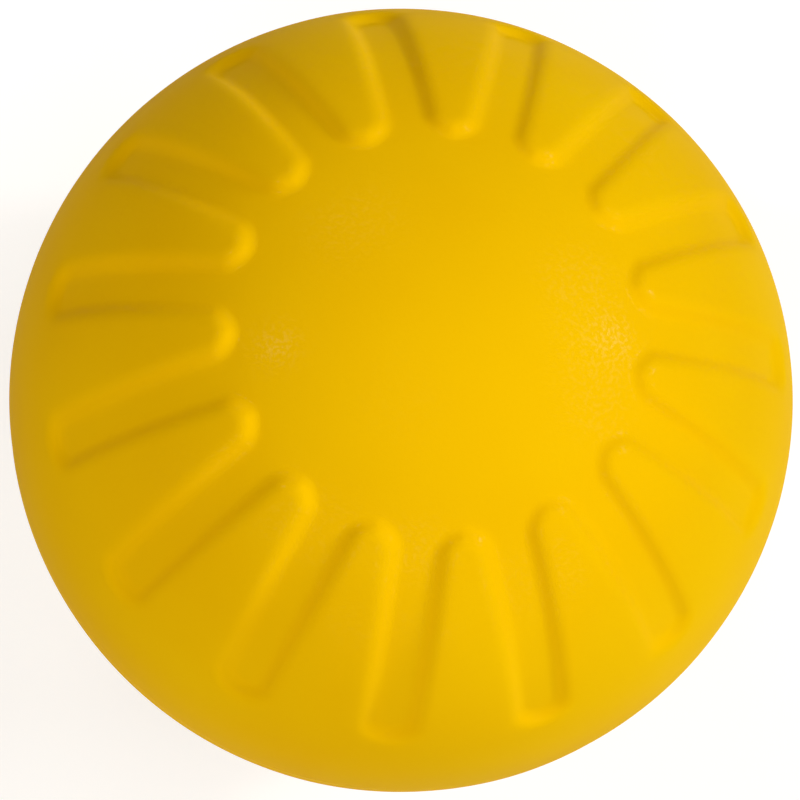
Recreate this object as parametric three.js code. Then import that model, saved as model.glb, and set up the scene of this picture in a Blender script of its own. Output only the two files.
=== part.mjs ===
// A solid foam fetch ball: two moulded skin halves, the seam that joins them and the foamed core.
// Millimetres. The ball's centre is the origin, and +Z runs along the moulding axis.
import * as THREE from "three";

// Driving sizes
const ballDiameter = 64;
const petalCount = 15; // raised petals round each pole, with a groove between neighbours
const grooveWidth = 3.65; // between the steepest lines of its walls, from the cap to the outer end
const grooveDepth = 0.7; // also the depth of the bare cap
const noseRadius = 1.7; // round inner end of a petal
const footRun = 0.9; // width in plan of the hollow foot of a wall
const shoulderRun = 1.5; // width in plan of the round shoulder of a wall
const bandHeight = 27; // plain band between the groove ends of the two halves
const skinThickness = 1.6; // under a groove's floor
const seamHeight = 0.5;
const coreClearance = 0.3;

// Curve of a wall: how sharply its foot rises and how quickly its shoulder levels out
const footPower = 2;
const shoulderPower = 3;

// Facets
const footShares = [-1, -0.5, 0]; // of a foot's run, where a wall's section has an edge
const shoulderShares = [0.35, 1]; // of a shoulder's run
const outerColumnsPerPetal = 4; // at the equator, where the surface is plain
const innerColumnsPerPetal = 3;
const noseRows = 3;
const grooveRows = 4; // between a petal's round end and the groove's round end
const capRows = 4;
const bandRows = 3;
const innerRows = 9;
const columnReach = 0.9; // share of half a pitch that a groove's columns may take near the cap
const leastRowGap = 0.3;

// Worked out from the driving sizes
const ballRadius = ballDiameter / 2;
const floorRadius = ballRadius - grooveDepth;
const skinInnerRadius = floorRadius - skinThickness;
const coreRadius = skinInnerRadius - coreClearance;
const pitch = (2 * Math.PI) / petalCount;
const halfGroove = grooveWidth / 2;

// Share of a wall's height that its foot takes, so that foot and shoulder meet at one slope.
const footPart = shoulderPower * footRun;
const footHeight = footPart / (footPower * shoulderRun + footPart);

// Places across a wall, from its steepest line: negative on the foot, positive on the shoulder.
const wallPlaces = [
  ...footShares.map((share) => share * footRun),
  ...shoulderShares.map((share) => share * shoulderRun),
];

// A petal's round end touches the grooves on both sides, and the cap reaches up to it.
const noseReach = Math.sin((halfGroove + noseRadius) / ballRadius);
const noseAngle = Math.asin(noseReach / Math.sin(pitch / 2));
const capAngle = noseAngle - noseRadius / ballRadius;
const endAngle = Math.acos(bandHeight / 2 / ballRadius);
const endCentreAngle = endAngle - halfGroove / ballRadius;

// Distance on the ball from a petal's edge: positive on the petal, negative over a groove or the cap.
function petalInset(polar, azimuth) {
  const turn = azimuth - pitch * Math.round(azimuth / pitch);
  const across = (off) => ballRadius * Math.asin(Math.sin(polar) * Math.sin(off));
  const along = ballRadius * Math.atan2(Math.sin(polar) * Math.cos(turn), Math.cos(polar));
  const pastEndCentre = Math.max(0, along - ballRadius * endCentreAngle);
  const fromGroove = Math.hypot(across(turn), pastEndCentre) - halfGroove;
  const fromNextGroove = across(pitch - Math.abs(turn)) - halfGroove;
  const fromCap = ballRadius * (polar - capAngle);
  const near = [fromGroove, fromNextGroove, fromCap].map((gap) => Math.max(0, noseRadius - gap));
  return Math.max(noseRadius, Math.min(fromGroove, fromCap)) - Math.hypot(...near);
}

// Radius of the moulded surface: a wall rises in a hollow foot and levels out in a long round shoulder.
function mouldedRadius(polar, azimuth) {
  const inset = petalInset(polar, azimuth);
  const upFoot = THREE.MathUtils.clamp(1 + inset / footRun, 0, 1);
  const toTop = 1 - THREE.MathUtils.clamp(inset / shoulderRun, 0, 1);
  const footShare = footHeight * upFoot ** footPower;
  const shoulderShare = (1 - footHeight) * (1 - toTop ** shoulderPower);
  return floorRadius + grooveDepth * (footShare + shoulderShare);
}

// A ring of points round the axis at one polar angle, in order of azimuth from 0.
function ring(polar, azimuths, radiusAt) {
  return azimuths.map((azimuth) => {
    const radius = radiusAt(polar, azimuth);
    const fromAxis = radius * Math.sin(polar);
    const x = fromAxis * Math.cos(azimuth);
    const y = fromAxis * Math.sin(azimuth);
    return { azimuth, point: new THREE.Vector3(x, y, radius * Math.cos(polar)) };
  });
}

function pole(z) {
  return [{ azimuth: 0, point: new THREE.Vector3(0, 0, z) }];
}

// Even columns, fewer towards the pole, always the same number for each petal.
function evenAzimuths(polar, columnsPerPetal) {
  const perPetal = Math.max(1, Math.round(columnsPerPetal * Math.sin(polar)));
  const count = petalCount * perPetal;
  return Array.from({ length: count }, (_, k) => (2 * Math.PI * k) / count);
}

// Columns that follow a groove's middle, the places across its walls, and the petal's middle.
function grooveAzimuths(polar) {
  const offsets = wallPlaces.map((place, k) => {
    const across = (halfGroove + place) / ballRadius;
    const turn = Math.asin(Math.min(1, Math.sin(across) / Math.sin(polar)));
    const most = ((pitch / 2) * columnReach * (k + 1)) / wallPlaces.length;
    return Math.min(turn, most);
  });
  const rightHalf = [0, ...offsets, pitch / 2];
  const leftHalf = offsets.map((turn) => pitch - turn).reverse();
  const onePitch = [...rightHalf, ...leftHalf];
  return Array.from({ length: petalCount }, (_, k) => onePitch.map((turn) => k * pitch + turn)).flat();
}

// Even shares of the way from one value to another, without the first.
function steps(from, to, count) {
  return Array.from({ length: count }, (_, k) => from + ((to - from) * (k + 1)) / count);
}

// Rows across the moulded relief, closest at the round ends.
function reliefRows() {
  const rows = [
    ...wallPlaces.map((place) => capAngle + place / ballRadius),
    ...steps(capAngle, noseAngle, noseRows),
    ...steps(noseAngle, endCentreAngle, grooveRows),
    ...wallPlaces.map((place) => endAngle + place / ballRadius),
  ].sort((a, b) => a - b);
  return rows.filter((row, k) => k === 0 || ballRadius * (row - rows[k - 1]) > leastRowGap);
}

// Joins rings of points into one closed surface. The rings run from the top pole down the outside,
// and where the piece is hollow, back up its inside.
function loft(rings) {
  const positions = rings.flat().flatMap(({ point }) => point.toArray());
  const triangles = [];
  let first = 0;
  for (let k = 0; k + 1 < rings.length; k++) {
    const [upper, lower] = [rings[k], rings[k + 1]];
    const upperStart = first;
    const lowerStart = first + upper.length;
    const upperSteps = upper.length > 1 ? upper.length : 0;
    const lowerSteps = lower.length > 1 ? lower.length : 0;
    const azimuthAfter = (points, n) => (n + 1 < points.length ? points[n + 1].azimuth : 2 * Math.PI);
    let i = 0;
    let j = 0;
    while (i < upperSteps || j < lowerSteps) {
      const a = upperStart + (i % upper.length);
      const b = lowerStart + (j % lower.length);
      const upperLeft = i < upperSteps;
      const lowerLeft = j < lowerSteps;
      if (upperLeft && (!lowerLeft || azimuthAfter(upper, i) <= azimuthAfter(lower, j))) {
        triangles.push(a, b, upperStart + ((i + 1) % upper.length));
        i++;
      } else {
        triangles.push(a, b, lowerStart + ((j + 1) % lower.length));
        j++;
      }
    }
    first = lowerStart;
  }
  const geometry = new THREE.BufferGeometry();
  geometry.setAttribute("position", new THREE.Float32BufferAttribute(positions, 3));
  geometry.setIndex(triangles);
  geometry.computeVertexNormals();
  return geometry;
}

// Plain rings on a sphere, at the given polar angles.
function plainRings(radius, rows, columnsPerPetal) {
  return rows.map((polar) => ring(polar, evenAzimuths(polar, columnsPerPetal), () => radius));
}

// One skin half: the moulded outside from pole to rim, the flat rim and the round inside.
function skinGeometry() {
  const relief = reliefRows();
  const outerRim = Math.acos(seamHeight / 2 / ballRadius);
  const innerRim = Math.acos(seamHeight / 2 / skinInnerRadius);
  const capPolars = steps(0, relief[0], capRows).slice(0, -1);
  const bandPolars = steps(relief.at(-1), outerRim, bandRows);
  const innerPolars = [innerRim, ...steps(innerRim, 0, innerRows).slice(0, -1)];
  return loft([
    pole(floorRadius),
    ...plainRings(floorRadius, capPolars, outerColumnsPerPetal),
    ...relief.map((polar) => ring(polar, grooveAzimuths(polar), mouldedRadius)),
    ...plainRings(ballRadius, bandPolars, outerColumnsPerPetal),
    ...plainRings(skinInnerRadius, innerPolars, innerColumnsPerPetal),
    pole(skinInnerRadius),
  ]);
}

// The core, with the same rows and columns as the inside of the skins.
function coreGeometry() {
  const polars = steps(0, Math.PI, 2 * innerRows).slice(0, -1);
  return loft([
    pole(coreRadius),
    ...plainRings(coreRadius, polars, innerColumnsPerPetal),
    pole(-coreRadius),
  ]);
}

// The fused seam: a flat ring between the two rims.
function seamGeometry() {
  const low = -seamHeight / 2;
  const high = seamHeight / 2;
  const section = [
    new THREE.Vector2(skinInnerRadius, low),
    new THREE.Vector2(ballRadius, low),
    new THREE.Vector2(ballRadius, high),
    new THREE.Vector2(skinInnerRadius, high),
    new THREE.Vector2(skinInnerRadius, low),
  ];
  const geometry = new THREE.LatheGeometry(section, petalCount * outerColumnsPerPetal);
  return geometry.rotateX(Math.PI / 2);
}

function piece(name, geometry, material) {
  const mesh = new THREE.Mesh(geometry, material);
  mesh.name = name;
  return mesh;
}

const skinFoam = new THREE.MeshStandardMaterial({ color: 0xf0bc05, roughness: 0.45, metalness: 0 });
const seamFoam = new THREE.MeshStandardMaterial({ color: 0xe6b004, roughness: 0.5, metalness: 0 });
const coreFoam = new THREE.MeshStandardMaterial({ color: 0xf2c838, roughness: 0.9, metalness: 0 });

// Both halves come from one mould cavity, so the lower skin is the upper one turned over.
const upperSkin = piece("upper_skin", skinGeometry(), skinFoam);
const lowerSkin = piece("lower_skin", skinGeometry(), skinFoam);
lowerSkin.rotation.x = Math.PI;

const ball = new THREE.Group();
ball.add(upperSkin, lowerSkin);
ball.add(piece("parting_seam", seamGeometry(), seamFoam));
ball.add(piece("foam_core", coreGeometry(), coreFoam));

export default ball;
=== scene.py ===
import math

import bpy
from mathutils import Matrix, Vector


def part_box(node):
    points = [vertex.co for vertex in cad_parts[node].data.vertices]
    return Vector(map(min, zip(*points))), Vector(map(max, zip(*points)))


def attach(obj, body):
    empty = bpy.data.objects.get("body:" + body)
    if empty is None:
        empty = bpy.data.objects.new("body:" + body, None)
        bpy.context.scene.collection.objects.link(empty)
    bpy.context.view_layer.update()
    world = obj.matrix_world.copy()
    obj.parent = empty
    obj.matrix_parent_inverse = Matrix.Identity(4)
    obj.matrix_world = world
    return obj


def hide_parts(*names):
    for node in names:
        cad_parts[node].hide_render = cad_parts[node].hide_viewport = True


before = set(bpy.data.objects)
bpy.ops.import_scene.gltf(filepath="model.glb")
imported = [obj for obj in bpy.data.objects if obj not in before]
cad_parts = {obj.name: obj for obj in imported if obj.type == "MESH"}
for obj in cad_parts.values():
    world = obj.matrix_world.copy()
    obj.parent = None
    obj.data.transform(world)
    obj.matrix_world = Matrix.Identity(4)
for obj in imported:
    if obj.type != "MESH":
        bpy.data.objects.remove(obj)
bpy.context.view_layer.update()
scene = bpy.context.scene

# Sizes in metres, from the frame
BALL_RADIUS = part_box("parting_seam")[1].x
FLOOR_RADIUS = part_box("upper_skin")[1].z
CORE_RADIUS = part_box("foam_core")[1].z
SEAM_HEIGHT = 2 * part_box("parting_seam")[1].z
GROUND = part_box("lower_skin")[0].z

# The moulded relief, as on the solids
PETALS = 15
GROOVE_WIDTH = 0.00365
NOSE_RADIUS = 0.0017
FOOT_RUN = 0.0009
SHOULDER_RUN = 0.0015
BAND_HEIGHT = 0.0270
CORE_CLEARANCE = 0.0003

# Softness that only the finished surface has
UNEVENNESS = 0.00004
UNEVENNESS_WAVE = 0.012
RIM_BREAK = 0.00012
RIM_BREAK_REACH = 0.0006
SEAM_BEAD = 0.00008
SEAM_UNEVENNESS = 0.00002
SEAM_UNEVENNESS_WAVE = 0.003
CELL_SIZE = 0.0014
CELL_DEPTH = 0.00012
UPPER_SEED = 1
LOWER_SEED = 2
SEAM_SEED = 3

# Mesh rows of a half, from its outer pole over the rim to its inner pole, and columns for each petal
HALF_ROWS = {"cap": 8, "nose": 36, "groove": 20, "end": 36, "band": 12, "rim": 1, "inside": 8}
HALF_COLUMNS = 50

# Shares of a half pitch's columns at which a wall's foot starts, and its shoulder starts and ends
FOOT_STARTS = 0.12
SHOULDER_STARTS = 0.36
SHOULDER_ENDS = 0.8

# Share of half a pitch that a groove's walls may take near the cap
WALL_REACH = 0.9

# Columns round the seam, rows round its section, and subdivisions of the core's sphere
SEAM_COLUMNS = 720
SEAM_ROWS = 32
CORE_FINENESS = 7

# Points closer than the weld, in metres, become one. Edges over the angle, in radians, stay sharp.
WELD = 1e-6
SHARP_ANGLE = 0.7

# Shades between which the foam's colour drifts, the size of the clouds and their contrast
SKIN_FULL = (0.87, 0.495, 0.0003, 1.0)
SKIN_PALE = (0.91, 0.55, 0.0006, 1.0)
# The core's fuller shade is also painted into its cells' hollows as painted shade.
CORE_FULL = (0.84, 0.50, 0.03, 1.0)
CORE_PALE = (0.90, 0.62, 0.10, 1.0)
CLOUD_SIZE = 0.016
CLOUD_CONTRAST = 1.0
SKIN_CLOUD_CONTRAST = 1.6

# Heights over the parting plane between which the mould's wall changes from polished to etched
POLISHED_BELOW = 0.45 * BALL_RADIUS
ETCHED_ABOVE = 0.8 * BALL_RADIUS

# Grain that the mould's wall leaves, and the share of it that is left on the polished band
GRAIN_SIZE = 0.00035
GRAIN_DETAIL = 3.0
GRAIN_DEPTH = 0.000006
COARSE_GRAIN_SIZE = 0.0011
COARSE_GRAIN_DEPTH = 0.000008
BAND_GRAIN = 0.35
SEAM_GRAIN_DEPTH = 0.000025

# Gloss of the skin: the noise values between which a speck begins, and the weights of the coat
SPECK_SIZE = 0.0003
SPECK_STARTS = 0.47
SPECK_ENDS = 0.62
LEAST_COAT = 0.01
SPECK_COAT = 0.30
BAND_COAT = 0.07

# Roughness of the trimmed seam and its drift, and relief of the core's cells in the finish alone
SEAM_ROUGHNESS = 0.50
SEAM_ROUGHNESS_DRIFT = 0.15
SEAM_DRIFT_SIZE = 0.002
CELL_BUMP = 0.0002

# The photograph's view: the camera looks down on the upper cap, a little off the moulding axis.
POLE_IN_VIEW = Vector((0.096, 0.186, 0.978)).normalized()
GROOVE_TURN_IN_VIEW = math.radians(0.35)
CAMERA_DISTANCE = 8 * BALL_RADIUS
FRAME_PIXELS = 800
OUTLINE_RADIUS_PIXELS = 391.8
OUTLINE_OFF_CENTRE_PIXELS = (1.0, 0.4)

# Distance of the lamps from the ball's centre in metres, and their colours
LAMP_DISTANCE = 2.4
WHITE = (1.0, 1.0, 1.0)
WARM = (1.0, 0.9, 0.76)

# Each softbox: its place in the camera's view, its width and height in metres, its power in watts
# and its colour
SOFTBOXES = {
    "right_softbox": ((0.87, 0.26, 0.41), (0.26, 0.36), 13.4, WHITE),
    "right_fill_softbox": ((0.80, 0.24, 0.49), (2.0, 0.8), 31.0, WHITE),
    "lower_softbox": ((0.05, -0.68, 0.73), (0.7, 0.7), 8.0, WHITE),
    "lower_right_softbox": ((0.60, -0.70, 0.39), (0.8, 0.8), 7.6, WHITE),
    "bottom_softbox": ((-0.05, -0.93, 0.36), (1.4, 0.5), 6.4, WARM),
    "lower_left_softbox": ((-0.43, -0.54, 0.72), (0.9, 0.9), 11.2, WARM),
    "upper_softbox": ((-0.20, 0.77, 0.58), (1.0, 0.8), 10.1, WARM),
    "left_softbox": ((-0.57, 0.25, 0.78), (0.2, 0.28), 9.8, WARM),
    "rim_softbox": ((-0.88, -0.34, 0.33), (0.8, 0.8), 2.4, WARM),
    "front_softbox": ((0.0, 0.0, 1.0), (1.0, 1.0), 3.6, WHITE),
}
SKY_STRENGTH = 0.01

# Half the floor's width, its grey, and its glow, which grows between two distances from the ball
FLOOR_REACH = 6.0
FLOOR_GREY = (0.50, 0.50, 0.50, 1.0)
FLOOR_GLOW = 0.62
GLOW_GROWS_FROM = 0.3
GLOW_FULL_FROM = 2.0


class Reading:
    """A number in a node tree. Arithmetic on it adds Math nodes to the tree."""

    def __init__(self, tree, socket):
        self.tree = tree
        self.socket = socket

    def __add__(self, other):
        return maths("ADD", self, other)

    def __radd__(self, other):
        return maths("ADD", other, self)

    def __sub__(self, other):
        return maths("SUBTRACT", self, other)

    def __rsub__(self, other):
        return maths("SUBTRACT", other, self)

    def __mul__(self, other):
        return maths("MULTIPLY", self, other)

    def __rmul__(self, other):
        return maths("MULTIPLY", other, self)

    def __truediv__(self, other):
        return maths("DIVIDE", self, other)

    def __rtruediv__(self, other):
        return maths("DIVIDE", other, self)


def feed(tree, socket, value):
    """Links a socket to a reading or another socket, or sets it to a plain value."""
    if isinstance(value, Reading):
        tree.links.new(value.socket, socket)
    elif isinstance(value, bpy.types.NodeSocket):
        tree.links.new(value, socket)
    else:
        socket.default_value = value


def add_node(tree, kind, inputs=None, **settings):
    """A new node with its settings and inputs in place."""
    node = tree.nodes.new(kind)
    for name, value in settings.items():
        setattr(node, name, value)
    for name, value in (inputs or {}).items():
        feed(tree, node.inputs[name], value)
    return node


def maths(operation, *values):
    """One Math node over readings and plain numbers."""
    tree = next(value.tree for value in values if isinstance(value, Reading))
    node = tree.nodes.new("ShaderNodeMath")
    node.operation = operation
    for socket, value in zip(node.inputs, values):
        feed(tree, socket, value)
    return Reading(tree, node.outputs[0])


def share_of(value, start, end, interpolation="LINEAR"):
    """How far a reading is on its way from start to end, from 0 to 1."""
    inputs = {"Value": value, "From Min": start, "From Max": end}
    node = add_node(value.tree, "ShaderNodeMapRange", inputs, interpolation_type=interpolation)
    return Reading(value.tree, node.outputs["Result"])


def sine(value):
    return maths("SINE", value)


def cosine(value):
    return maths("COSINE", value)


def arcsine(value):
    return maths("ARCSINE", value)


def arccosine(value):
    return maths("ARCCOSINE", value)


def larger(a, b):
    return maths("MAXIMUM", a, b)


def smaller(a, b):
    return maths("MINIMUM", a, b)


def span(a, b):
    """Length of the diagonal over two sides."""
    return maths("SQRT", a * a + b * b)


def split(tree, vector):
    """The three parts of a vector as readings."""
    node = add_node(tree, "ShaderNodeSeparateXYZ", {"Vector": vector})
    return [Reading(tree, socket) for socket in node.outputs]


def joined(tree, x, y, z):
    """A vector from its three parts."""
    node = add_node(tree, "ShaderNodeCombineXYZ", {"X": x, "Y": y, "Z": z})
    return node.outputs["Vector"]


def new_form(name, sizes, counts):
    """An empty Geometry Nodes tree with named inputs, and those inputs as readings."""
    tree = bpy.data.node_groups.new(name, "GeometryNodeTree")
    for label in sizes:
        tree.interface.new_socket(label, in_out="INPUT", socket_type="NodeSocketFloat")
    for label in counts:
        tree.interface.new_socket(label, in_out="INPUT", socket_type="NodeSocketInt")
    tree.interface.new_socket("Finish", in_out="INPUT", socket_type="NodeSocketMaterial")
    tree.interface.new_socket("Geometry", in_out="OUTPUT", socket_type="NodeSocketGeometry")
    source = tree.nodes.new("NodeGroupInput")
    labels = (*sizes, *counts, "Finish")
    return tree, {label: Reading(tree, source.outputs[label]) for label in labels}


def end_form(tree, geometry, finish):
    """Ends a tree: real faces, smooth but for sharp corners, in one finish."""
    real = add_node(tree, "GeometryNodeRealizeInstances", {"Geometry": geometry})
    welded = add_node(
        tree, "GeometryNodeMergeByDistance", {"Geometry": real.outputs[0], "Distance": WELD}
    )
    smooth = add_node(tree, "GeometryNodeSetShadeSmooth", {"Geometry": welded.outputs[0]})
    corner = Reading(tree, tree.nodes.new("GeometryNodeInputMeshEdgeAngle").outputs["Unsigned Angle"])
    creased = add_node(
        tree,
        "GeometryNodeSetShadeSmooth",
        {
            "Geometry": smooth.outputs[0],
            "Selection": maths("GREATER_THAN", corner, SHARP_ANGLE),
            "Shade Smooth": False,
        },
        domain="EDGE",
    )
    finished = add_node(
        tree, "GeometryNodeSetMaterial", {"Geometry": creased.outputs[0], "Material": finish}
    )
    add_node(tree, "NodeGroupOutput", {"Geometry": finished.outputs[0]})


def point_place(tree):
    """Where each point of a mesh is."""
    return tree.nodes.new("GeometryNodeInputPosition").outputs[0]


def unit_grid(tree, columns, rows):
    """A flat grid, one metre square about the origin, and each point's place across and up it."""
    grid = add_node(
        tree,
        "GeometryNodeMeshGrid",
        {"Size X": 1.0, "Size Y": 1.0, "Vertices X": columns + 1, "Vertices Y": rows + 1},
    )
    x, y, _ = split(tree, point_place(tree))
    return grid.outputs["Mesh"], x, y


def put_at(tree, geometry, place):
    """Moves each point of a mesh to its place."""
    node = add_node(tree, "GeometryNodeSetPosition", {"Geometry": geometry, "Position": place})
    return node.outputs[0]


def pushed_outwards(tree, geometry, place, height):
    """Moves each point of a mesh away from the ball's centre by a height."""
    outwards = add_node(tree, "ShaderNodeVectorMath", {"Vector": place}, operation="NORMALIZE")
    offset = add_node(
        tree, "ShaderNodeVectorMath", {"Vector": outwards.outputs[0], "Scale": height}, operation="SCALE"
    )
    moved = add_node(
        tree, "GeometryNodeSetPosition", {"Geometry": geometry, "Offset": offset.outputs[0]}
    )
    return moved.outputs[0]


def made_uneven(tree, geometry, amount, wave, seed):
    """Moves the surface in and out by soft noise, as foam settles unevenly in its mould."""
    place = point_place(tree)
    waves = add_node(
        tree,
        "ShaderNodeTexNoise",
        {"Vector": place, "W": seed, "Scale": 1.0 / wave, "Detail": 1.0},
        noise_dimensions="4D",
    )
    height = (Reading(tree, waves.outputs[0]) - 0.5) * 2 * amount
    return pushed_outwards(tree, geometry, place, height)


def repeated_round(tree, geometry, count, pitch):
    """Copies of one sector, a pitch apart all round the axis."""
    ring = add_node(tree, "GeometryNodePoints", {"Count": count})
    index = Reading(tree, tree.nodes.new("GeometryNodeInputIndex").outputs[0])
    copies = add_node(
        tree,
        "GeometryNodeInstanceOnPoints",
        {
            "Points": ring.outputs[0],
            "Instance": geometry,
            "Rotation": joined(tree, 0.0, 0.0, index * pitch),
        },
    )
    real = add_node(tree, "GeometryNodeRealizeInstances", {"Geometry": copies.outputs[0]})
    return real.outputs[0]


def row_shares(row):
    """For each stretch of a half's rows, how far a row is through it, from 0 to 1."""
    total = sum(HALF_ROWS.values())
    shares = {}
    start = 0
    for stretch, count in HALF_ROWS.items():
        shares[stretch] = share_of(row, start / total, (start + count) / total)
        start += count
    return shares


def row_ends(read, cap_angle, end_angle):
    """Polar angle at which each stretch of a half's rows ends. Walls lie in stretches of their own."""
    ball = read["Ball Radius"]
    half_seam = read["Seam Height"] / 2
    shoulder = read["Shoulder Run"]
    return {
        "cap": cap_angle - read["Foot Run"] / ball,
        "nose": cap_angle + 2 * shoulder / ball,
        "groove": end_angle - read["Groove Width"] / 2 / ball,
        "end": end_angle + shoulder / ball,
        "band": arccosine(half_seam / ball),
        "rim": arccosine(half_seam / read["Inner Radius"]),
        "inside": 0.0,
    }


def row_polar(rows, ends):
    """Polar angle of a row, from the outer pole out to the rim and back to the inner pole."""
    polar = 0.0
    last_end = 0.0
    for stretch, end in ends.items():
        polar = polar + (end - last_end) * rows[stretch]
        last_end = end
    return polar


def column_turn(read, x, polar, least_polar, pitch):
    """Turn of a column from the groove's middle. Columns are closest together over the walls."""
    ball = read["Ball Radius"]
    half_groove = read["Groove Width"] / 2
    breadth = sine(larger(polar, least_polar))

    def turn_at(distance):
        return arcsine(sine(distance / ball) / breadth)

    foot_turn = turn_at(half_groove - read["Foot Run"])
    wall_turn = turn_at(half_groove)
    top_turn = smaller(turn_at(half_groove + read["Shoulder Run"]), WALL_REACH * pitch / 2)
    column = 2 * maths("ABSOLUTE", x)
    return maths("SIGN", x) * (
        foot_turn * share_of(column, 0.0, FOOT_STARTS)
        + (wall_turn - foot_turn) * share_of(column, FOOT_STARTS, SHOULDER_STARTS)
        + (top_turn - wall_turn) * share_of(column, SHOULDER_STARTS, SHOULDER_ENDS)
        + (pitch / 2 - top_turn) * share_of(column, SHOULDER_ENDS, 1.0)
    )


def petal_inset(read, polar, turn, pitch, cap_angle, end_angle):
    """Distance into the petal from its edge, with the round ends of petals and grooves."""
    ball = read["Ball Radius"]
    nose = read["Nose Radius"]
    half_groove = read["Groove Width"] / 2
    across = ball * arcsine(sine(polar) * sine(turn))
    along = ball * maths("ARCTAN2", sine(polar) * cosine(turn), cosine(polar))
    past_end = larger(0.0, along - ball * end_angle + half_groove)
    from_groove = span(across, past_end) - half_groove
    from_next = ball * arcsine(sine(polar) * sine(pitch - maths("ABSOLUTE", turn))) - half_groove
    from_cap = ball * (polar - cap_angle)
    near = [larger(0.0, nose - gap) for gap in (from_groove, from_next, from_cap)]
    rounded_off = maths("SQRT", near[0] * near[0] + near[1] * near[1] + near[2] * near[2])
    return larger(nose, smaller(from_groove, from_cap)) - rounded_off


def wall_relief(inset, foot, shoulder):
    """Height of the wall from 0 to 1: a parabola up the foot and a cubic over the shoulder."""
    # At this height both have the same slope.
    foot_height = 3 * foot / (2 * shoulder + 3 * foot)
    up_foot = share_of(inset, 0 - foot, 0.0)
    to_top = 1 - share_of(inset, 0.0, shoulder)
    return foot_height * up_foot * up_foot + (1 - foot_height) * (1 - to_top * to_top * to_top)


def moulded_half_form():
    """The tree for one skin half: a groove between two half petals, repeated round the axis."""
    sizes = [
        "Ball Radius",
        "Floor Radius",
        "Inner Radius",
        "Groove Width",
        "Nose Radius",
        "Foot Run",
        "Shoulder Run",
        "Band Height",
        "Seam Height",
        "Rim Break",
        "Rim Break Reach",
        "Unevenness",
        "Unevenness Wave",
        "Turn Over",
    ]
    tree, read = new_form("moulded_half", sizes, ["Petals", "Columns", "Seed"])
    ball = read["Ball Radius"]
    nose = read["Nose Radius"]
    pitch = 2 * math.pi / read["Petals"]

    # A petal's round end touches the grooves on both sides, and the cap reaches up to it.
    nose_angle = arcsine(sine((read["Groove Width"] / 2 + nose) / ball) / sine(pitch / 2))
    cap_angle = nose_angle - nose / ball
    end_angle = arccosine(read["Band Height"] / 2 / ball)

    grid, x, y = unit_grid(tree, read["Columns"], sum(HALF_ROWS.values()))
    rows = row_shares(0.5 - y)
    ends = row_ends(read, cap_angle, end_angle)
    polar = row_polar(rows, ends)
    turn = column_turn(read, x, polar, ends["cap"], pitch)

    # Radius of each point, with the rim broken outside and the flat of the rim down to the inside
    inset = petal_inset(read, polar, turn, pitch, cap_angle, end_angle)
    relief = wall_relief(inset, read["Foot Run"], read["Shoulder Run"])
    moulded = read["Floor Radius"] + (ball - read["Floor Radius"]) * relief
    rim_distance = ball * (ends["band"] - polar)
    broken = share_of(rim_distance, read["Rim Break Reach"], 0.0, "SMOOTHSTEP") * read["Rim Break"]
    outside = moulded - broken
    radius = outside + (read["Inner Radius"] - outside) * rows["rim"]

    from_axis = radius * sine(polar)
    place = joined(tree, from_axis * cosine(turn), from_axis * sine(turn), radius * cosine(polar))
    all_round = repeated_round(tree, put_at(tree, grid, place), read["Petals"], pitch)
    turned = add_node(
        tree,
        "GeometryNodeTransform",
        {"Geometry": all_round, "Rotation": joined(tree, read["Turn Over"], 0.0, 0.0)},
    )
    settled = made_uneven(
        tree, turned.outputs[0], read["Unevenness"], read["Unevenness Wave"], read["Seed"]
    )
    end_form(tree, settled, read["Finish"])
    return tree


def seam_form():
    """The tree for the fused seam: a flat ring whose outer edge is a fine, slightly uneven bead."""
    sizes = ["Outer Radius", "Inner Radius", "Height", "Bead", "Unevenness", "Unevenness Wave"]
    tree, read = new_form("fused_seam", sizes, ["Columns", "Rows", "Seed"])
    grid, x, y = unit_grid(tree, read["Columns"], read["Rows"])
    azimuth = 2 * math.pi * x
    row = 0.5 - y

    # The section runs up the inner wall, out over the top, down the bead and back underneath.
    # Its rows go against the grid's, so that the faces point outwards.
    sides = [share_of(row, k / 4, (k + 1) / 4) for k in range(4)]
    height = read["Height"] * (sides[0] - sides[2] - 0.5)
    width = read["Outer Radius"] - read["Inner Radius"]
    bulge = read["Bead"] * sine(math.pi * sides[2])
    radius = read["Inner Radius"] + width * (sides[1] - sides[3]) + bulge
    ring = put_at(tree, grid, joined(tree, radius * cosine(azimuth), radius * sine(azimuth), height))
    settled = made_uneven(tree, ring, read["Unevenness"], read["Unevenness Wave"], read["Seed"])
    end_form(tree, settled, read["Finish"])
    return tree


def core_form():
    """The tree for the core: a ball whose skinless surface shows its cut cells."""
    tree, read = new_form("foamed_core", ["Radius", "Cell Size", "Cell Depth"], ["Fineness"])
    sphere = add_node(
        tree,
        "GeometryNodeMeshIcoSphere",
        {"Radius": read["Radius"], "Subdivisions": read["Fineness"]},
    )
    place = point_place(tree)
    cells = add_node(
        tree,
        "ShaderNodeTexVoronoi",
        {"Vector": place, "Scale": 1 / read["Cell Size"]},
        feature="SMOOTH_F1",
    )
    # Cells are deepest in the middle, and the walls between them stay within the radius.
    height = (Reading(tree, cells.outputs["Distance"]) - 1.0) * read["Cell Depth"]
    pitted = pushed_outwards(tree, sphere.outputs["Mesh"], place, height)
    end_form(tree, pitted, read["Finish"])
    return tree


def grown(name, tree, values):
    """Runs a tree with its inputs set, and keeps the result as an object with a plain mesh."""
    piece = bpy.data.objects.new(name, bpy.data.meshes.new(name))
    scene.collection.objects.link(piece)
    modifier = piece.modifiers.new(tree.name, "NODES")
    modifier.node_group = tree
    for item in tree.interface.items_tree:
        if item.in_out == "INPUT":
            modifier[item.identifier] = values[item.name]
    depsgraph = bpy.context.evaluated_depsgraph_get()
    mesh = bpy.data.meshes.new_from_object(piece.evaluated_get(depsgraph), depsgraph=depsgraph)
    piece.modifiers.clear()
    piece.data = mesh
    return piece


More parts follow.
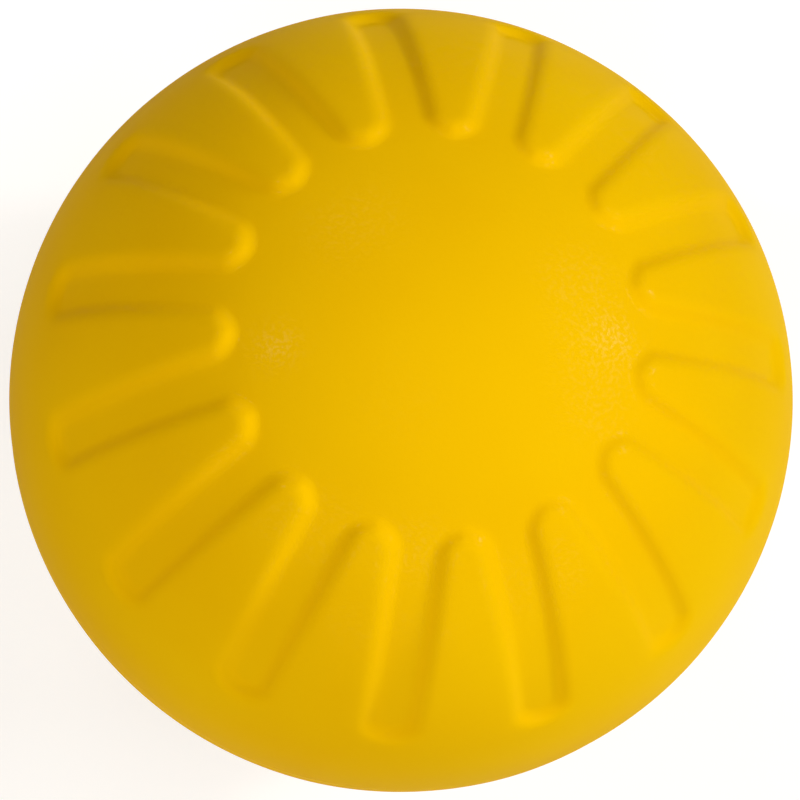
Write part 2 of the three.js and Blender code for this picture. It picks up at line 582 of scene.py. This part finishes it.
def new_effect(name, numbers, colours, outputs):
    """An empty shader node group with named inputs and outputs."""
    group = bpy.data.node_groups.new(name, "ShaderNodeTree")
    for label, value in numbers.items():
        socket = group.interface.new_socket(label, in_out="INPUT", socket_type="NodeSocketFloat")
        socket.default_value = value
    for label in colours:
        group.interface.new_socket(label, in_out="INPUT", socket_type="NodeSocketColor")
    for label, kind in outputs.items():
        group.interface.new_socket(label, in_out="OUTPUT", socket_type=kind)
    source = group.nodes.new("NodeGroupInput")
    sink = group.nodes.new("NodeGroupOutput")
    return group, source, sink


def object_place(tree):
    """The place on the piece that is being shaded."""
    return tree.nodes.new("ShaderNodeTexCoord").outputs["Object"]


def noise(tree, place, size, detail=2.0):
    """Noise with features of about the given size in metres, as a reading from 0 to 1."""
    node = add_node(
        tree, "ShaderNodeTexNoise", {"Vector": place, "Scale": 1.0 / size, "Detail": detail}
    )
    return Reading(tree, node.outputs[0])


def mixed(tree, share, first, second):
    """A colour between two others."""
    node = add_node(tree, "ShaderNodeMix", data_type="RGBA")
    sockets = {socket.identifier: socket for socket in (*node.inputs, *node.outputs)}
    feed(tree, sockets["Factor_Float"], share)
    feed(tree, sockets["A_Color"], first)
    feed(tree, sockets["B_Color"], second)
    return sockets["Result_Color"]


def etched_share(tree, place):
    """1 at the caps and the petals' inner ends, where the mould's wall is etched, and 0 on the band."""
    height = maths("ABSOLUTE", split(tree, place)[2])
    return share_of(height, POLISHED_BELOW, ETCHED_ABOVE, "SMOOTHSTEP")


def mould_grain_effect():
    """Height of the fine grain that a mould's wall leaves on a foam skin, in metres."""
    numbers = {"Fine Depth": GRAIN_DEPTH, "Coarse Depth": COARSE_GRAIN_DEPTH}
    group, source, sink = new_effect("mould_grain", numbers, [], {"Height": "NodeSocketFloat"})
    place = object_place(group)
    fine = noise(group, place, GRAIN_SIZE, GRAIN_DETAIL) * Reading(group, source.outputs["Fine Depth"])
    coarse = noise(group, place, COARSE_GRAIN_SIZE) * Reading(group, source.outputs["Coarse Depth"])
    strength = BAND_GRAIN + (1 - BAND_GRAIN) * etched_share(group, place)
    feed(group, sink.inputs["Height"], (fine + coarse) * strength)
    return group


def cloudy_colour_effect():
    """Slow drift of the foam's colour, between a fuller and a paler shade."""
    group, source, sink = new_effect(
        "cloudy_colour", {"Contrast": CLOUD_CONTRAST}, ["Full", "Pale"], {"Color": "NodeSocketColor"}
    )
    cloud = noise(group, object_place(group), CLOUD_SIZE) - 0.5
    share = cloud * Reading(group, source.outputs["Contrast"]) + 0.5
    share.socket.node.use_clamp = True
    colour = mixed(group, share, source.outputs["Full"], source.outputs["Pale"])
    feed(group, sink.inputs["Color"], colour)
    return group


def satin_specks_effect():
    """Coat weight of a foam skin: an even satin on the band, and glossy specks towards the caps."""
    group, _, sink = new_effect("satin_specks", {}, [], {"Coat": "NodeSocketFloat"})
    place = object_place(group)
    specks = share_of(noise(group, place, SPECK_SIZE), SPECK_STARTS, SPECK_ENDS, "SMOOTHSTEP")
    speckled = LEAST_COAT + SPECK_COAT * specks
    coat = BAND_COAT + (speckled - BAND_COAT) * etched_share(group, place)
    feed(group, sink.inputs["Coat"], coat)
    return group


def effect(tree, group, inputs):
    """Places a shader node group in a material."""
    node = tree.nodes.new("ShaderNodeGroup")
    node.node_tree = group
    for label, value in inputs.items():
        feed(tree, node.inputs[label], value)
    return node


def new_finish(name, **sockets):
    """A material with a Principled shader and the sockets that are the same all over."""
    material = bpy.data.materials.new(name)
    material.use_nodes = True
    tree = material.node_tree
    shader = tree.nodes["Principled BSDF"]
    for label, value in sockets.items():
        shader.inputs[label.replace("_", " ")].default_value = value
    return material, tree, shader


def grained(tree, shader, height):
    """Bends a shader's normals by a height in metres."""
    bump = add_node(tree, "ShaderNodeBump", {"Height": height, "Strength": 1.0, "Distance": 1.0})
    feed(tree, shader.inputs["Normal"], bump.outputs["Normal"])


def skin_finish(grain, clouds, specks):
    """Satin foam skin."""
    material, tree, shader = new_finish(
        "skin_foam", Specular_IOR_Level=0.0, Roughness=0.5, Coat_Roughness=0.2, Coat_IOR=1.15
    )
    shades = {"Full": SKIN_FULL, "Pale": SKIN_PALE, "Contrast": SKIN_CLOUD_CONTRAST}
    feed(tree, shader.inputs["Base Color"], effect(tree, clouds, shades).outputs["Color"])
    feed(tree, shader.inputs["Coat Weight"], effect(tree, specks, {}).outputs["Coat"])
    grained(tree, shader, effect(tree, grain, {}).outputs["Height"])
    return material


def seam_finish(grain, clouds):
    """The seam's foam, trimmed and so a little duller than the skin."""
    material, tree, shader = new_finish("seam_foam", Specular_IOR_Level=0.1)
    shades = {"Full": SKIN_FULL, "Pale": SKIN_PALE}
    feed(tree, shader.inputs["Base Color"], effect(tree, clouds, shades).outputs["Color"])
    drift = noise(tree, object_place(tree), SEAM_DRIFT_SIZE)
    feed(tree, shader.inputs["Roughness"], SEAM_ROUGHNESS + SEAM_ROUGHNESS_DRIFT * drift)
    grained(tree, shader, effect(tree, grain, {"Fine Depth": SEAM_GRAIN_DEPTH}).outputs["Height"])
    return material


def core_finish(clouds):
    """Skinless foam: pale cell walls round cells whose hollows carry painted shade in a fuller, darker
    colour.
    """
    material, tree, shader = new_finish("core_foam", Roughness=0.9, Specular_IOR_Level=0.2)
    place = object_place(tree)
    cells = add_node(tree, "ShaderNodeTexVoronoi", {"Vector": place, "Scale": 1.0 / CELL_SIZE})
    hollow = Reading(tree, cells.outputs["Distance"])
    drift = effect(tree, clouds, {"Full": CORE_FULL, "Pale": CORE_PALE})
    # Painted shade: each cell's middle, where its pit is deepest, takes the fuller, darker colour.
    colour = mixed(tree, hollow, CORE_FULL, drift.outputs["Color"])
    feed(tree, shader.inputs["Base Color"], colour)
    grained(tree, shader, hollow * CELL_BUMP)
    return material


def grow_skin_half(name, form, turn_over, seed, finish):
    """One half of the skin, out of the cavity that both halves share."""
    sizes = {
        "Ball Radius": BALL_RADIUS,
        "Floor Radius": FLOOR_RADIUS,
        "Inner Radius": CORE_RADIUS + CORE_CLEARANCE,
        "Groove Width": GROOVE_WIDTH,
        "Nose Radius": NOSE_RADIUS,
        "Foot Run": FOOT_RUN,
        "Shoulder Run": SHOULDER_RUN,
        "Band Height": BAND_HEIGHT,
        "Seam Height": SEAM_HEIGHT,
        "Rim Break": RIM_BREAK,
        "Rim Break Reach": RIM_BREAK_REACH,
        "Unevenness": UNEVENNESS,
        "Unevenness Wave": UNEVENNESS_WAVE,
        "Turn Over": turn_over,
        "Petals": PETALS,
        "Columns": HALF_COLUMNS,
        "Seed": seed,
        "Finish": finish,
    }
    return grown(name, form, sizes)


def grow_seam(finish):
    """The fused seam between the halves."""
    sizes = {
        "Outer Radius": BALL_RADIUS - RIM_BREAK,
        "Inner Radius": CORE_RADIUS + CORE_CLEARANCE,
        "Height": SEAM_HEIGHT,
        "Bead": SEAM_BEAD,
        "Unevenness": SEAM_UNEVENNESS,
        "Unevenness Wave": SEAM_UNEVENNESS_WAVE,
        "Columns": SEAM_COLUMNS,
        "Rows": SEAM_ROWS,
        "Seed": SEAM_SEED,
        "Finish": finish,
    }
    return grown("parting_seam_fused", seam_form(), sizes)


def grow_core(finish):
    """The foamed core inside the skin."""
    sizes = {
        "Radius": CORE_RADIUS,
        "Cell Size": CELL_SIZE,
        "Cell Depth": CELL_DEPTH,
        "Fineness": CORE_FINENESS,
        "Finish": finish,
    }
    return grown("foam_core_cells", core_form(), sizes)


def place_pieces():
    """Grows the four pieces, hangs each on the root body, and hides the CAD part it stands for."""
    grain = mould_grain_effect()
    clouds = cloudy_colour_effect()
    skin = skin_finish(grain, clouds, satin_specks_effect())
    half = moulded_half_form()
    upper = grow_skin_half("upper_skin_moulded", half, 0.0, UPPER_SEED, skin)
    lower = grow_skin_half("lower_skin_moulded", half, math.pi, LOWER_SEED, skin)
    seam = grow_seam(seam_finish(grain, clouds))
    core = grow_core(core_finish(clouds))
    stands_for = {
        upper: ("upper_skin", "skin_foam"),
        lower: ("lower_skin", "skin_foam"),
        seam: ("parting_seam", "seam_foam"),
        core: ("foam_core", "core_foam"),
    }
    for piece, (node, slot) in stands_for.items():
        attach(piece, "root")
        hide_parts(node)


def place_camera():
    """The camera at the photograph's angle. Returns the turn from its axes to the world's."""
    level = Vector((0, 1, 0)).cross(POLE_IN_VIEW).normalized()
    x_in_view = Matrix.Rotation(GROOVE_TURN_IN_VIEW, 3, POLE_IN_VIEW) @ level
    turn = Matrix((x_in_view, POLE_IN_VIEW.cross(x_in_view), POLE_IN_VIEW))
    data = bpy.data.cameras.new("camera")
    outline_angle = math.asin(BALL_RADIUS / CAMERA_DISTANCE)
    half_view = math.tan(outline_angle) * FRAME_PIXELS / 2 / OUTLINE_RADIUS_PIXELS
    data.lens = data.sensor_width / 2 / half_view
    data.shift_x = -OUTLINE_OFF_CENTRE_PIXELS[0] / FRAME_PIXELS
    data.shift_y = OUTLINE_OFF_CENTRE_PIXELS[1] / FRAME_PIXELS
    camera = bpy.data.objects.new("camera", data)
    camera.matrix_world = turn.to_4x4() @ Matrix.Translation((0, 0, CAMERA_DISTANCE))
    scene.collection.objects.link(camera)
    scene.camera = camera
    return turn


def add_softbox(name, direction, size, power, colour):
    """A rectangular area lamp that faces the ball."""
    data = bpy.data.lights.new(name, "AREA")
    data.shape = "RECTANGLE"
    data.size, data.size_y = size
    data.energy = power
    data.color = colour
    lamp = bpy.data.objects.new(name, data)
    lamp.location = direction * LAMP_DISTANCE
    lamp.rotation_euler = direction.to_track_quat("Z", "Y").to_euler()
    scene.collection.objects.link(lamp)


def seen_directly(tree):
    """1 for rays from the camera and for mirrored and transmitted ones, which show the background."""
    path = tree.nodes.new("ShaderNodeLightPath")
    kinds = ("Is Camera Ray", "Is Glossy Ray", "Is Transmission Ray")
    camera, glossy, transmitted = (Reading(tree, path.outputs[kind]) for kind in kinds)
    return larger(camera, larger(glossy, transmitted))


def light_scene(turn):
    """Softboxes round the camera, given by their places in its view, and a dim even sky."""
    for name, (place_in_view, size, power, colour) in SOFTBOXES.items():
        direction = turn @ Vector(place_in_view).normalized()
        add_softbox(name, direction, size, power, colour)
    world = bpy.data.worlds.new("studio")
    world.use_nodes = True
    tree = world.node_tree
    sky = tree.nodes["Background"]
    sky.inputs["Color"].default_value = (*WHITE, 1.0)
    feed(tree, sky.inputs["Strength"], SKY_STRENGTH + (1 - SKY_STRENGTH) * seen_directly(tree))
    scene.world = world


def place_floor():
    """A pale floor under the ball, which the camera sees as white but for the ball's shadow."""
    mesh = bpy.data.meshes.new("floor")
    signs = ((-1, -1), (1, -1), (1, 1), (-1, 1))
    corners = [(x * FLOOR_REACH, y * FLOOR_REACH, GROUND) for x, y in signs]
    mesh.from_pydata(corners, [], [(0, 1, 2, 3)])
    floor = bpy.data.objects.new("floor", mesh)
    scene.collection.objects.link(floor)
    material, tree, shader = new_finish(
        "pale_floor",
        Base_Color=FLOOR_GREY,
        Roughness=0.9,
        Specular_IOR_Level=0.0,
        Emission_Color=(*WHITE, 1.0),
    )
    # The lamps' light on the floor fades far from the ball, so the glow grows there.
    x, y, _ = split(tree, object_place(tree))
    far = share_of(span(x, y), GLOW_GROWS_FROM, GLOW_FULL_FROM, "SMOOTHSTEP")
    glow = FLOOR_GLOW + (1 - FLOOR_GLOW) * far
    feed(tree, shader.inputs["Emission Strength"], glow * seen_directly(tree))
    mesh.materials.append(material)


place_pieces()
light_scene(place_camera())
place_floor()
scene.view_settings.view_transform = "Standard"
